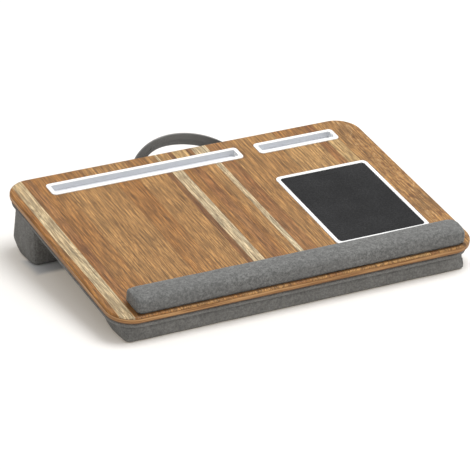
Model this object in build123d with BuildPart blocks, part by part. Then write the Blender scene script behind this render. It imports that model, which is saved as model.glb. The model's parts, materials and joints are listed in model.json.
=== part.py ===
"""Lap tray with cushion.

A wide wood-faced board carries two device slots, an inset mouse pad and a padded wrist rest.
A fabric cushion under it has a low front bolster and a tall rear one, so the board slopes to
the front. A webbing strap at the rear edge is the carrying handle.

Frame: +X to the user's right, +Y to the rear, +Z up, millimetres. The origin lies on the
surface the tray stands on, in the middle of the whole tray's width and depth.
"""

import os
from math import cos, radians, sin, sqrt, tan

from build123d import *

# Driving dimensions: the board and how it stands
board_width = 550.0
board_depth = 371.0
board_thickness = 10.5
board_corner_radius = 36.0
board_edge_round = 3.5
board_slope = 9.05
front_edge_height = 37.3

# Driving dimensions: the cushion
cushion_side_inset = 6.0
cushion_shift = -1.0
cushion_front_inset = 4.0
cushion_rear_inset = 6.0
cushion_corner_radius = 40.0
front_end_inset = 11.0
rear_end_inset = 6.0
bolster_corner_radius = 7.0
hem_height = 6.5
front_bolster_depth = 84.0
rear_bolster_depth = 77.0

# Driving dimensions: the device slots
slot_row_from_rear = 39.0
slot_flange_width = 5.8
slot_flange_height = 1.4
slot_wall = 1.5
slot_corner_radius = 6.0
tablet_slot_width = 29.5
tablet_slot_from_left = 54.5
phone_slot_length = 128.5
phone_slot_width = 28.0
phone_slot_from_right = 43.75
slot_gap = 26.25

# Driving dimensions: the mouse pad
mouse_frame_width = 146.0
mouse_frame_depth = 187.5
mouse_frame_from_right = 40.0
mouse_frame_from_front = 64.5
mouse_frame_border = 5.5
mouse_frame_radius = 8.0
mouse_frame_height = 1.4

# Driving dimensions: the wrist rest
wrist_from_left = 33.0
wrist_from_right = 19.0
wrist_depth = 41.0
wrist_height = 21.6
wrist_from_front = 6.0

# Driving dimensions: the carrying strap
strap_x = 3.5
strap_span = 150.0
strap_reach = 37.0
strap_width = 25.0
strap_thickness = 2.5
strap_rise_angle = 30.0
strap_hinge_behind_board = 10.8
strap_hinge_height = 76.2

# Clearances and overrun
fit_clearance = 0.2
soft_clearance = 0.3
screw_clearance = 0.1
cut_overrun = 1.0

# Where the board's slope puts things
slope_sin = sin(radians(board_slope))
slope_cos = cos(radians(board_slope))
slope_tan = tan(radians(board_slope))
rise_sin = sin(radians(strap_rise_angle))
rise_cos = cos(radians(strap_rise_angle))
nose_setback = board_edge_round * (slope_cos + slope_sin - 1)
rear_edge_run = board_depth * slope_cos
strap_rear_run = (
    rear_edge_run
    + strap_hinge_behind_board
    + strap_reach * rise_cos
    + strap_width / 2 * rise_sin
)
front_edge_y = -(strap_rear_run + nose_setback) / 2
rear_edge_y = front_edge_y + rear_edge_run
strap_hinge_y = rear_edge_y + strap_hinge_behind_board
strap_hinge_z = strap_hinge_height

os.makedirs("parts", exist_ok=True)


def board_plane(height=0.0):
    """Plane parallel to the board's top face, its origin at the middle of the front edge."""
    origin = (0, front_edge_y - height * slope_sin, front_edge_height + height * slope_cos)
    return Plane(origin=origin, x_dir=(1, 0, 0), z_dir=(0, -slope_sin, slope_cos))


def height_under_board(y, depth):
    """Height above the floor, at y, of the plane that lies depth below the board's top face."""
    return front_edge_height + (y - front_edge_y) * slope_tan - depth / slope_cos


def save(part, name):
    """Label one finished piece and write its file."""
    part.label = name
    export_step(part, f"parts/{name}.step")


# Heights and outlines that several pieces share
underside = -board_thickness
board_middle = board_depth / 2
panel_thickness = 3.0
panel_inset = 9.0
cushion_width = board_width - 2 * cushion_side_inset
cushion_depth = board_depth - cushion_front_inset - cushion_rear_inset
cushion_middle = cushion_front_inset + cushion_depth / 2
panel_width = cushion_width - 2 * panel_inset
panel_depth = cushion_depth - 2 * panel_inset
panel_radius = cushion_corner_radius - panel_inset
panel_underside = underside - panel_thickness
hem_underside = underside - hem_height

# Outlines and places of what is let into the board and stands on it
phone_slot_x = board_width / 2 - phone_slot_from_right - phone_slot_length / 2
phone_slot_left = phone_slot_x - phone_slot_length / 2
tablet_slot_left = tablet_slot_from_left - board_width / 2
tablet_slot_length = phone_slot_left - slot_gap - tablet_slot_left
tablet_slot_x = tablet_slot_left + tablet_slot_length / 2
slot_row_from_front = board_depth - slot_row_from_rear
tablet_opening_length = tablet_slot_length - 2 * slot_flange_width
tablet_opening_width = tablet_slot_width - 2 * slot_flange_width
phone_opening_length = phone_slot_length - 2 * slot_flange_width
phone_opening_width = phone_slot_width - 2 * slot_flange_width
slot_opening_radius = slot_corner_radius / 2
mouse_backing_thickness = 1.2
mouse_pad_thickness = 2.0
mouse_recess_depth = 2.6
mouse_frame_x = board_width / 2 - mouse_frame_from_right - mouse_frame_width / 2
mouse_frame_middle = mouse_frame_from_front + mouse_frame_depth / 2
mouse_opening_width = mouse_frame_width - 2 * mouse_frame_border
mouse_opening_depth = mouse_frame_depth - 2 * mouse_frame_border
mouse_opening_radius = mouse_frame_radius - mouse_frame_border / 2
wrist_length = board_width - wrist_from_left - wrist_from_right
wrist_x = (wrist_from_left - wrist_from_right) / 2
wrist_middle = wrist_from_front + wrist_depth / 2

# Screws: one pattern fixes the cushion's panel, one row fixes the wrist rest's base strip
screw_radius = 1.6
screw_head_radius = 3.4
screw_head_depth = 1.8
panel_screw_length = 9.0
panel_screw_columns = 4
panel_screw_rows = 2
panel_screw_side_inset = 20.0
panel_screw_end_inset = 46.5
panel_screw_column_pitch = (panel_width - 2 * panel_screw_side_inset) / (panel_screw_columns - 1)
panel_screw_row_pitch = (panel_depth - 2 * panel_screw_end_inset) / (panel_screw_rows - 1)
wrist_screw_length = 12.8
wrist_screw_count = 5
wrist_screw_end_inset = 27.5
wrist_screw_pitch = (wrist_length - 2 * wrist_screw_end_inset) / (wrist_screw_count - 1)


def countersunk_screw(length, gap=0.0):
    """One screw pointing up, its head's face at zero, or its hole with a gap all round."""
    with BuildPart(mode=Mode.PRIVATE) as screw:
        with BuildSketch(Plane.XZ):
            with BuildLine():
                Polyline(
                    (0, 0),
                    (screw_head_radius + gap, 0),
                    (screw_radius + gap, screw_head_depth + gap),
                    (screw_radius + gap, length + gap),
                    (0, length + gap),
                    close=True,
                )
            make_face()
        revolve(axis=Axis.Z)
    return screw.part


def add_panel_screws(gap=0.0, mode=Mode.ADD):
    """The pattern of screws that comes up through the panel into the board."""
    with Locations(board_plane(panel_underside)):
        with Locations((cushion_shift, board_middle)):
            with GridLocations(
                panel_screw_column_pitch,
                panel_screw_row_pitch,
                panel_screw_columns,
                panel_screw_rows,
            ):
                add(countersunk_screw(panel_screw_length, gap), mode=mode)


def add_wrist_screws(gap=0.0, mode=Mode.ADD):
    """The row of screws that comes up through the board into the wrist rest's base strip."""
    with Locations(board_plane(underside)):
        with Locations((wrist_x, wrist_middle)):
            with GridLocations(wrist_screw_pitch, wrist_screw_pitch, wrist_screw_count, 1):
                add(countersunk_screw(wrist_screw_length, gap), mode=mode)


with BuildPart() as panel_screws:
    add_panel_screws()
save(panel_screws.part, "panel_screws")

with BuildPart() as wrist_screws:
    add_wrist_screws()
save(wrist_screws.part, "wrist_screws")


# The board: rounded plate with two windows for the slots and a shallow sink for the mouse pad
slope_axis = Axis(origin=(0, 0, 0), direction=(0, -slope_sin, slope_cos))

with BuildPart() as wood_board:
    with BuildSketch(board_plane(underside)):
        with Locations((0, board_middle)):
            RectangleRounded(board_width, board_depth, board_corner_radius)
    extrude(amount=board_thickness)
    rims = wood_board.faces().sort_by(slope_axis)[-1].edges()
    rims += wood_board.faces().sort_by(slope_axis)[0].edges()
    fillet(rims, radius=board_edge_round)
    with BuildSketch(board_plane(underside - cut_overrun)):
        with Locations((tablet_slot_x, slot_row_from_front)):
            RectangleRounded(
                tablet_opening_length + 2 * (slot_wall + fit_clearance),
                tablet_opening_width + 2 * (slot_wall + fit_clearance),
                slot_opening_radius + slot_wall + fit_clearance,
            )
        with Locations((phone_slot_x, slot_row_from_front)):
            RectangleRounded(
                phone_opening_length + 2 * (slot_wall + fit_clearance),
                phone_opening_width + 2 * (slot_wall + fit_clearance),
                slot_opening_radius + slot_wall + fit_clearance,
            )
    extrude(amount=board_thickness + 2 * cut_overrun, mode=Mode.SUBTRACT)
    with BuildSketch(board_plane(-mouse_recess_depth)):
        with Locations((mouse_frame_x, mouse_frame_middle)):
            RectangleRounded(
                mouse_frame_width + 2 * fit_clearance,
                mouse_frame_depth + 2 * fit_clearance,
                mouse_frame_radius + fit_clearance,
            )
    extrude(amount=mouse_recess_depth + cut_overrun, mode=Mode.SUBTRACT)
    add_panel_screws(screw_clearance, Mode.SUBTRACT)
    add_wrist_screws(screw_clearance, Mode.SUBTRACT)
save(wood_board.part, "wood_board")


# Slot channels: a flange on the board and a walled trough through its window
slot_pad_thickness = 1.0
slot_rim_round = 0.6


def make_slot(name, slot_x, length, width):
    """The moulded channel of one device slot and the grip pad on its floor."""
    opening_length = length - 2 * slot_flange_width
    opening_width = width - 2 * slot_flange_width
    with BuildPart() as channel:
        with BuildSketch(board_plane()):
            with Locations((slot_x, slot_row_from_front)):
                RectangleRounded(length, width, slot_corner_radius)
        extrude(amount=slot_flange_height)
        fillet(channel.faces().sort_by(slope_axis)[-1].edges(), radius=slot_rim_round)
        with BuildSketch(board_plane(underside)):
            with Locations((slot_x, slot_row_from_front)):
                RectangleRounded(
                    opening_length + 2 * slot_wall,
                    opening_width + 2 * slot_wall,
                    slot_opening_radius + slot_wall,
                )
        extrude(amount=board_thickness)
        with BuildSketch(board_plane(underside + slot_wall)):
            with Locations((slot_x, slot_row_from_front)):
                RectangleRounded(opening_length, opening_width, slot_opening_radius)
        extrude(amount=board_thickness + slot_flange_height, mode=Mode.SUBTRACT)
    save(channel.part, f"{name}_slot_channel")

    with BuildPart() as grip_pad:
        with BuildSketch(board_plane(underside + slot_wall)):
            with Locations((slot_x, slot_row_from_front)):
                RectangleRounded(
                    opening_length - 2 * fit_clearance,
                    opening_width - 2 * fit_clearance,
                    slot_opening_radius - fit_clearance,
                )
        extrude(amount=slot_pad_thickness)
    save(grip_pad.part, f"{name}_slot_grip_pad")


make_slot("tablet", tablet_slot_x, tablet_slot_length, tablet_slot_width)
make_slot("phone", phone_slot_x, phone_slot_length, phone_slot_width)


# Mouse pad: a moulded frame in the sink holds the pad and its stiff backing
mouse_rim_round = 0.6

with BuildPart() as mouse_pad_frame:
    with BuildSketch(board_plane(-mouse_recess_depth)):
        with Locations((mouse_frame_x, mouse_frame_middle)):
            RectangleRounded(mouse_frame_width, mouse_frame_depth, mouse_frame_radius)
            RectangleRounded(
                mouse_opening_width,
                mouse_opening_depth,
                mouse_opening_radius,
                mode=Mode.SUBTRACT,
            )
    extrude(amount=mouse_recess_depth + mouse_frame_height)
    fillet(mouse_pad_frame.faces().sort_by(slope_axis)[-1].edges(), radius=mouse_rim_round)
save(mouse_pad_frame.part, "mouse_pad_frame")

with BuildPart() as mouse_pad_backing:
    with BuildSketch(board_plane(-mouse_recess_depth)):
        with Locations((mouse_frame_x, mouse_frame_middle)):
            RectangleRounded(
                mouse_opening_width - 2 * fit_clearance,
                mouse_opening_depth - 2 * fit_clearance,
                mouse_opening_radius - fit_clearance,
            )
    extrude(amount=mouse_backing_thickness)
save(mouse_pad_backing.part, "mouse_pad_backing")

with BuildPart() as mouse_pad:
    with BuildSketch(board_plane(mouse_backing_thickness - mouse_recess_depth)):
        with Locations((mouse_frame_x, mouse_frame_middle)):
            RectangleRounded(
                mouse_opening_width - 2 * fit_clearance,
                mouse_opening_depth - 2 * fit_clearance,
                mouse_opening_radius - fit_clearance,
            )
    extrude(amount=mouse_pad_thickness)
save(mouse_pad.part, "mouse_pad")


# Wrist rest: a padded roll with rounded ends, stretched over a stiff base strip
wrist_base_thickness = 3.0
wrist_base_inset = 7.0
wrist_end_radius = 7.0
wrist_end_drop = 2.2
wrist_crown = 1.2
wrist_side_height = 14.5
wrist_shoulder = 6.0
wrist_end_angles = (0, 30, 60, 90)


def slope_cross_plane(x):
    """Plane across the board at x: its first axis runs up the slope, its second off the board."""
    return Plane(
        origin=(x, front_edge_y, front_edge_height),
        x_dir=(0, slope_cos, slope_sin),
        z_dir=(1, 0, 0),
    )


def wrist_section(x, angle):
    """One cross-section of the roll; the angle is how far round the rounded end it lies."""
    draw_in = wrist_end_radius * (1 - sin(radians(angle)))
    top = wrist_height - wrist_crown - wrist_end_drop * (1 - sin(radians(angle)))
    front = wrist_from_front + draw_in
    back = wrist_from_front + wrist_depth - draw_in
    side = wrist_side_height * top / wrist_height
    shoulder = min(wrist_shoulder, (back - front) / 3)
    with BuildSketch(slope_cross_plane(x), mode=Mode.PRIVATE) as section:
        with BuildLine():
            Line((front, 0), (back, 0))
            Line((back, 0), (back, side))
            SagittaArc((back, side), (back - shoulder, top), -(top - side) / 4)
            SagittaArc((back - shoulder, top), (front + shoulder, top), -wrist_crown)
            SagittaArc((front + shoulder, top), (front, side), -(top - side) / 4)
            Line((front, side), (front, 0))
        make_face()
    return section.sketch.face()


def wrist_sections():
    """The roll's sections in order, from its left end to its right end."""
    half = wrist_length / 2
    reaches = [half - wrist_end_radius * (1 - cos(radians(angle))) for angle in wrist_end_angles]
    stations = list(zip(reaches, wrist_end_angles))
    left = [wrist_section(wrist_x - reach, angle) for reach, angle in stations]
    right = [wrist_section(wrist_x + reach, angle) for reach, angle in reversed(stations)]
    return left + right


with BuildPart() as wrist_rest:
    loft(wrist_sections(), ruled=True)
    with BuildSketch(board_plane(-cut_overrun)):
        with Locations((wrist_x, wrist_middle)):
            RectangleRounded(
                wrist_length - 2 * (wrist_base_inset - soft_clearance),
                wrist_depth - 2 * (wrist_base_inset - soft_clearance),
                wrist_base_inset,
            )
    extrude(amount=wrist_base_thickness + soft_clearance + cut_overrun, mode=Mode.SUBTRACT)
save(wrist_rest.part, "wrist_rest")

with BuildPart() as wrist_rest_base:
    with BuildSketch(board_plane()):
        with Locations((wrist_x, wrist_middle)):
            RectangleRounded(
                wrist_length - 2 * wrist_base_inset,
                wrist_depth - 2 * wrist_base_inset,
                wrist_base_inset,
            )
    extrude(amount=wrist_base_thickness)
    add_wrist_screws(screw_clearance, Mode.SUBTRACT)
save(wrist_rest_base.part, "wrist_rest_base")


# Cushion's panel, the hem round it and the fabric web under it
hem_edge_round = 1.5

with BuildPart() as cushion_panel:
    with BuildSketch(board_plane(panel_underside)):
        with Locations((cushion_shift, cushion_middle)):
            RectangleRounded(panel_width, panel_depth, panel_radius)
    extrude(amount=panel_thickness)
    add_panel_screws(screw_clearance, Mode.SUBTRACT)
save(cushion_panel.part, "cushion_panel")

with BuildPart() as cushion_hem:
    with BuildSketch(board_plane(hem_underside)):
        with Locations((cushion_shift, cushion_middle)):
            RectangleRounded(cushion_width, cushion_depth, cushion_corner_radius)
    extrude(amount=hem_height)
    hem_faces = cushion_hem.faces().sort_by(slope_axis)
    fillet(hem_faces[0].edges(), radius=hem_edge_round)
    with BuildSketch(board_plane(hem_underside - cut_overrun)):
        with Locations((cushion_shift, cushion_middle)):
            RectangleRounded(
                panel_width + 2 * soft_clearance,
                panel_depth + 2 * soft_clearance,
                panel_radius + soft_clearance,
            )
    extrude(amount=hem_height + 2 * cut_overrun, mode=Mode.SUBTRACT)
save(cushion_hem.part, "cushion_hem")

with BuildPart() as cushion_web:
    with BuildSketch(board_plane(hem_underside)):
        with Locations((cushion_shift, cushion_middle)):
            RectangleRounded(panel_width, panel_depth, panel_radius)
    extrude(amount=hem_height - panel_thickness)
save(cushion_web.part, "cushion_web")


# Bolsters: filled bodies with drawn-in ends, rounded corners and a sole that is cut flat
bolster_top_depth = board_thickness + hem_height + soft_clearance
bolster_end_angles = (0, 30, 60, 90)
bolster_end_crown = 1.5
bolster_end_shrink = 5.0
front_end_lift = 4.0
rear_end_lift = 1.5
hem_follow_shares = (0.6, 0.8, 1)
sole_cut = 0.5
hem_overhang = (board_thickness + hem_height) * slope_sin
front_bolster_front_y = front_edge_y + cushion_front_inset * slope_cos + hem_overhang
front_bolster_back_y = front_bolster_front_y + front_bolster_depth
rear_bolster_back_y = rear_edge_y - cushion_rear_inset * slope_cos + hem_overhang
rear_bolster_front_y = rear_bolster_back_y - rear_bolster_depth
front_sole_setback = 3.5
front_sole_run = 23.0
front_toe_height = 4.0
front_back_edge = 10.0
front_belly = 4.0
rear_toe_run = 3.0
rear_toe_height = 4.0
rear_heel_run = 32.0
rear_heel_height = 18.0


def cross_plane(x):
    """Upright plane across the tray at x: its axes are the tray's own +Y and +Z."""
    return Plane(origin=(x, 0, 0), x_dir=(0, 1, 0), z_dir=(1, 0, 0))


def hem_draw_in(inward):
    """How far the hem's rounded corner has come in at this distance from the cushion's end."""
    short_of_arc = max(0, cushion_corner_radius - inward)
    return cushion_corner_radius - sqrt(cushion_corner_radius**2 - short_of_arc**2)


def front_bolster_section(x, draw_in, top_draw_in, shrink):
    """One cross-section of the low front bolster, thick in front and thin behind."""
    end_share = draw_in / bolster_corner_radius
    lift = front_end_lift * end_share + shrink / 3 - sole_cut
    front = front_bolster_front_y + draw_in + shrink / 2
    top_front = front_bolster_front_y + top_draw_in + shrink / 2
    back = front_bolster_back_y - draw_in - shrink
    top_depth = bolster_top_depth + shrink / 3
    sole_front = front + front_sole_setback
    sole_back = sole_front + front_sole_run
    back_top = height_under_board(back, top_depth)
    with BuildSketch(cross_plane(x), mode=Mode.PRIVATE) as section:
        with BuildLine():
            Line((top_front, height_under_board(top_front, top_depth)), (back, back_top))
            Line((back, back_top), (back, back_top - front_back_edge))
            SagittaArc((back, back_top - front_back_edge), (sole_back, lift), front_belly)
            Line((sole_back, lift), (sole_front, lift))
            SagittaArc(
                (sole_front, lift),
                (front, lift + front_toe_height),
                front_toe_height / 4,
            )
            Line((front, lift + front_toe_height), (top_front, height_under_board(top_front, top_depth)))
        make_face()
    return section.sketch.face()


def rear_bolster_section(x, draw_in, top_draw_in, shrink):
    """One cross-section of the tall rear bolster: upright in front, well rounded behind."""
    end_share = draw_in / bolster_corner_radius
    lift = rear_end_lift * end_share + shrink / 3 - sole_cut
    front = rear_bolster_front_y + draw_in + shrink / 2
    back = rear_bolster_back_y - draw_in - shrink / 2
    top_back_y = rear_bolster_back_y - top_draw_in - shrink / 2
    top_depth = bolster_top_depth + shrink / 3
    top_front = (front, height_under_board(front, top_depth))
    top_back = (top_back_y, height_under_board(top_back_y, top_depth))
    heel = (back, lift + rear_heel_height)
    sole_back = (back - rear_heel_run, lift)
    sole_front = (front + rear_toe_run, lift)
    toe = (front, lift + rear_toe_height)
    with BuildSketch(cross_plane(x), mode=Mode.PRIVATE) as section:
        with BuildLine():
            Line(top_front, top_back)
            Line(top_back, heel)
            SagittaArc(heel, sole_back, rear_heel_run / 8)
            Line(sole_back, sole_front)
            SagittaArc(sole_front, toe, rear_toe_run / 4)
            Line(toe, top_front)
        make_face()
    return section.sketch.face()


def bolster_sections(section, end_inset):
    """One bolster's sections in order, from its left end to its right end."""
    half = cushion_width / 2
    crown_reach = half - end_inset + bolster_end_crown
    stations = [(crown_reach, bolster_corner_radius, hem_draw_in(end_inset), bolster_end_shrink)]
    for angle in bolster_end_angles:
        inward = end_inset + bolster_corner_radius * (1 - cos(radians(angle)))
        draw_in = bolster_corner_radius * (1 - sin(radians(angle)))
        stations.append((half - inward, draw_in, hem_draw_in(inward), 0))
    for share in hem_follow_shares:
        inward = share * cushion_corner_radius
        stations.append((half - inward, 0, hem_draw_in(inward), 0))
    left = [section(cushion_shift - reach, *rest) for reach, *rest in stations]
    right = [section(cushion_shift + reach, *rest) for reach, *rest in reversed(stations)]
    return left + right


with BuildPart() as front_bolster:
    loft(bolster_sections(front_bolster_section, front_end_inset), ruled=True)
    split(bisect_by=Plane.XY, keep=Keep.TOP)
save(front_bolster.part, "front_bolster")

with BuildPart() as rear_bolster:
    loft(bolster_sections(rear_bolster_section, rear_end_inset), ruled=True)
    split(bisect_by=Plane.XY, keep=Keep.TOP)
save(rear_bolster.part, "rear_bolster")


# Carrying strap: a flat webbing band bent to an arch, and the sewn tabs it swings on
strap_shoulder_radius = 16.0
tab_radius = 6.5
tab_patch_width = 32.0
tab_patch_drop = 26.0
tab_reach = strap_span / 2 + soft_clearance
tab_front_y = rear_bolster_back_y + soft_clearance
strap_half_width = strap_width / 2

arch_plane = Plane(
    origin=(strap_x, strap_hinge_y, strap_hinge_z),
    x_dir=(1, 0, 0),
    z_dir=(0, -rise_sin, rise_cos),
)
band_side_plane = Plane(
    origin=(strap_x, strap_hinge_y, strap_hinge_z),
    x_dir=(0, rise_cos, rise_sin),
    z_dir=(1, 0, 0),
)

with BuildPart() as handle_strap:
    with BuildSketch(arch_plane):
        with BuildLine():
            left_foot = (-strap_span / 2, -strap_half_width)
            left_shoulder = (-strap_span / 2, 0)
            right_foot = (strap_span / 2, -strap_half_width)
            right_shoulder = (strap_span / 2, 0)
            Line(left_foot, left_shoulder)
            ThreePointArc(left_shoulder, (0, strap_reach), right_shoulder)
            Line(right_shoulder, right_foot)
            Line(right_foot, left_foot)
        make_face()
        offset(amount=-strap_thickness, kind=Kind.INTERSECTION, mode=Mode.SUBTRACT)
        with Locations((0, -strap_half_width)):
            Rectangle(
                strap_span - 2 * strap_thickness,
                2 * strap_thickness,
                mode=Mode.SUBTRACT,
            )
    extrude(amount=strap_half_width, both=True)
    with BuildSketch(band_side_plane):
        Circle(strap_half_width)
        Rectangle(strap_reach, strap_width, align=(Align.MIN, Align.CENTER))
    extrude(amount=strap_span / 2, both=True, mode=Mode.INTERSECT)
save(handle_strap.part, "handle_strap")


def make_strap_tab(name, side):
    """One sewn tab: a patch on the cushion's back and an ear that carries the strap's end."""
    tab_x = strap_x + side * tab_reach
    ear_plane = Plane(origin=(tab_x, 0, 0), x_dir=(0, 1, 0), z_dir=(1, 0, 0))
    patch_plane = Plane(origin=(0, tab_front_y, 0), x_dir=(1, 0, 0), z_dir=(0, -1, 0))
    outward = Align.MIN if side > 0 else Align.MAX
    with BuildPart() as tab:
        with BuildSketch(ear_plane):
            with Locations((strap_hinge_y, strap_hinge_z)):
                Circle(tab_radius)
                Rectangle(
                    strap_hinge_y - tab_front_y,
                    2 * tab_radius,
                    align=(Align.MAX, Align.CENTER),
                )
        extrude(amount=side * strap_thickness)
        with BuildSketch(patch_plane):
            with Locations((tab_x, strap_hinge_z + tab_radius)):
                Rectangle(tab_patch_width, tab_patch_drop, align=(outward, Align.MAX))
        extrude(amount=-strap_thickness)
    save(tab.part, name)


make_strap_tab("strap_tab_left", -1)
make_strap_tab("strap_tab_right", 1)
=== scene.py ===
# %% [markdown]
# A lap tray on a cushion, dressed for a studio picture. The rigid parts come ready made from the
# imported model, which is a fixed frame: a wood-faced board, two moulded slots, a mouse pad in its
# frame. Blender adds what hard solids can't show: stuffed fabric, webbing, stitches and the finish
# of every surface. Everything is in metres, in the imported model's own place.

# %% Load the frame
import json
import random
from math import atan2, ceil, cos, degrees, pi, radians, sin

import bmesh
import bpy
import numpy as np
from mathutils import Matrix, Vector, noise
from mathutils.bvhtree import BVHTree


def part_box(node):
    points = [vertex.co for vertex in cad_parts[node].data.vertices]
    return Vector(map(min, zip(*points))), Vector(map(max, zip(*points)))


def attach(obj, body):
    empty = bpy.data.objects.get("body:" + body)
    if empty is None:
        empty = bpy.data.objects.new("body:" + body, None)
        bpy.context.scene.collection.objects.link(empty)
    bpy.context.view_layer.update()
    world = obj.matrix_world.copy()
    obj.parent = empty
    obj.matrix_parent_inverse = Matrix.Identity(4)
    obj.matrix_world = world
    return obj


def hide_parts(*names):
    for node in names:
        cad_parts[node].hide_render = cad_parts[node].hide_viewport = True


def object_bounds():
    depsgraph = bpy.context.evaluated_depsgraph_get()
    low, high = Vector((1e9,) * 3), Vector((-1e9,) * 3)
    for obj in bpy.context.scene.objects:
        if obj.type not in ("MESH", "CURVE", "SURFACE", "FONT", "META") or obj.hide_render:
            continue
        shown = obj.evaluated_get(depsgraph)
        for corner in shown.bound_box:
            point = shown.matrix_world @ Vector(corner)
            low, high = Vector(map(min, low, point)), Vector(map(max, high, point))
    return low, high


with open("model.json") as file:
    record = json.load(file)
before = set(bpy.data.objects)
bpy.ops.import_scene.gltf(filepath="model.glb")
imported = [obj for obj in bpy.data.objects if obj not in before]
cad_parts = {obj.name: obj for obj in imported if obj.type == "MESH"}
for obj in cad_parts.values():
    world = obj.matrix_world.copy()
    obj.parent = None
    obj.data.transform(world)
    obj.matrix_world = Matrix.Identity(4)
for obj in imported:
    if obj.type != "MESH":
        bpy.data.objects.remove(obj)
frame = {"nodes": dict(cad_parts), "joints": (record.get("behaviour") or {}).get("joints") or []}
nodes = frame["nodes"]
cad_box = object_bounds()
scene = bpy.context.scene
mm = 0.001
print("nodes in the frame:", len(nodes))

# %% [markdown]
# The board slopes to the front, and most pieces lie on it or hang under it. So the lesson works in
# the board's own coordinates: x along it, v up its slope from the front edge, and w off its top
# face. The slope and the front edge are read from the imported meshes, so nothing is measured twice.

# %% Board coordinates
def rows_of(items, field):
    """A field of three numbers of every item, as rows."""
    flat = np.zeros(len(items) * 3, np.float32)
    items.foreach_get(field, flat)
    return flat.reshape(-1, 3).astype(float)


def corners(mesh):
    """A mesh's corners as rows of x, y, z."""
    return rows_of(mesh.vertices, "co")


def along_slope(rows):
    """Places or directions turned so that the board lies level."""
    x, y, z = np.asarray(rows, float).T
    return np.stack([x, y * cos(slope) + z * sin(slope), z * cos(slope) - y * sin(slope)], 1)


pad_face = max(nodes["mouse_pad"].data.polygons, key=lambda face: face.area)
pad_normal = pad_face.normal if pad_face.normal.z > 0 else -pad_face.normal
slope = atan2(-pad_normal.y, pad_normal.z)
level_board = along_slope(corners(nodes["wood_board"].data))
front_v, top_w = level_board[:, 1].min(), level_board[:, 2].max()
board_width, board_depth = np.ptp(level_board[:, 0]), np.ptp(level_board[:, 1])


def to_board(points):
    """Rows of x, y, z as board coordinates x, v, w."""
    return along_slope(points) - np.array([0, front_v, top_w])


def from_board(points):
    """Rows of board coordinates x, v, w as x, y, z."""
    x, v, w = (np.asarray(points, float) + np.array([0, front_v, top_w])).T
    return np.stack([x, v * cos(slope) - w * sin(slope), v * sin(slope) + w * cos(slope)], 1)


def board_box(node):
    """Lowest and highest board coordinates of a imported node."""
    points = to_board(corners(nodes[node].data))
    return points.min(0), points.max(0)


print(f"slope {degrees(slope):.2f} degrees, board {board_width:.3f} by {board_depth:.3f} m")

# %% [markdown]
# The camera stands where the photographer stood: to the left of the tray's front, looking down at
# about 24 degrees through a long lens, so the tray's far edges hardly shrink.

# %% Camera
view_yaw, view_pitch = radians(27.59), radians(23.73)
view_target = Vector((-0.0317, -0.0720, 0.0590))
view_distance = 4.2061
focal_length_pixels, photo_width_pixels = 3100, 470


def linked(name, data):
    """A new object at the origin, linked to the scene."""
    holder = bpy.data.objects.new(name, data)
    scene.collection.objects.link(holder)
    return holder


camera_data = bpy.data.cameras.new("camera")
camera_data.sensor_width = 36.0
camera_data.lens = camera_data.sensor_width * (focal_length_pixels / photo_width_pixels)
camera = linked("camera", camera_data)
view_line = Vector((sin(view_yaw) * cos(view_pitch), cos(view_yaw) * cos(view_pitch),
                    -sin(view_pitch)))
camera.location = view_target - view_line * view_distance
camera.rotation_euler = (pi / 2 - view_pitch, 0, -view_yaw)
scene.camera = camera
scene.view_settings.view_transform = "Standard"
print("camera stands at", [round(c, 3) for c in camera.location])

# %% [markdown]
# Every finish is a tree of nodes, made of the same few patterns: noise at a real size, a tint or a
# shade that follows it, and a bump of a real depth. They read Object coordinates, which are metres
# here, so a scale of 1000 gives spots of about a millimetre. The helpers add such nodes, wire their
# inputs or set plain values on them, and return the output that the next one needs.

# %% Node helpers
def fill(tree, node, inputs):
    """Fills a node's inputs, given by name or number, with sockets to wire or plain values."""
    for name, value in inputs.items():
        if isinstance(value, bpy.types.NodeSocket):
            tree.links.new(value, node.inputs[name])
        else:
            node.inputs[name].default_value = value


def add(tree, kind, inputs=(), **settings):
    """A new node of that kind, with its settings and then its inputs."""
    node = tree.nodes.new(kind)
    for name, value in settings.items():
        setattr(node, name, value)
    fill(tree, node, dict(inputs))
    return node


def maths(tree, operation, *values):
    """One sum on numbers or sockets."""
    return add(tree, "ShaderNodeMath", enumerate(values), operation=operation).outputs[0]


def times(tree, first, second):
    """The product of two values."""
    return maths(tree, "MULTIPLY", first, second)


def eased(tree, value, low, high, to_low=0.0, to_high=1.0):
    """A value eased from one range to another."""
    return add(tree, "ShaderNodeMapRange", enumerate((value, low, high, to_low, to_high)),
               interpolation_type="SMOOTHSTEP").outputs[0]


def apart(tree, first, second):
    """How far two values lie apart."""
    return maths(tree, "ABSOLUTE", maths(tree, "SUBTRACT", first, second))


def within(tree, value, low, high, margin=0.0):
    """1 where a value lies between two others, give or take a margin, and else 0."""
    return maths(tree, "LESS_THAN", apart(tree, value, (low + high) / 2), (high - low) / 2 + margin)


def split(tree, place):
    """The three parts of a place."""
    return add(tree, "ShaderNodeSeparateXYZ", {0: place}).outputs


def joined(tree, x, y, z=0.0):
    """A place from its three parts."""
    return add(tree, "ShaderNodeCombineXYZ", enumerate((x, y, z))).outputs[0]


def shifted(tree, place, by):
    """A place moved by another."""
    return add(tree, "ShaderNodeVectorMath", enumerate((place, by)), operation="ADD").outputs[0]


def placed(tree, move=(0, 0, 0), turn=(0, 0, 0), stretch=(1, 1, 1), place=None):
    """Object coordinates, or a given place, moved, turned and stretched."""
    if place is None:
        place = add(tree, "ShaderNodeTexCoord").outputs["Object"]
    changes = {"Vector": place, "Location": move, "Rotation": turn, "Scale": stretch}
    return add(tree, "ShaderNodeMapping", changes).outputs[0]


def on_board(tree):
    """Object coordinates as board coordinates."""
    return placed(tree, move=(0, -front_v, -top_w), turn=(-slope, 0, 0))


print("node helpers ready")

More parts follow.
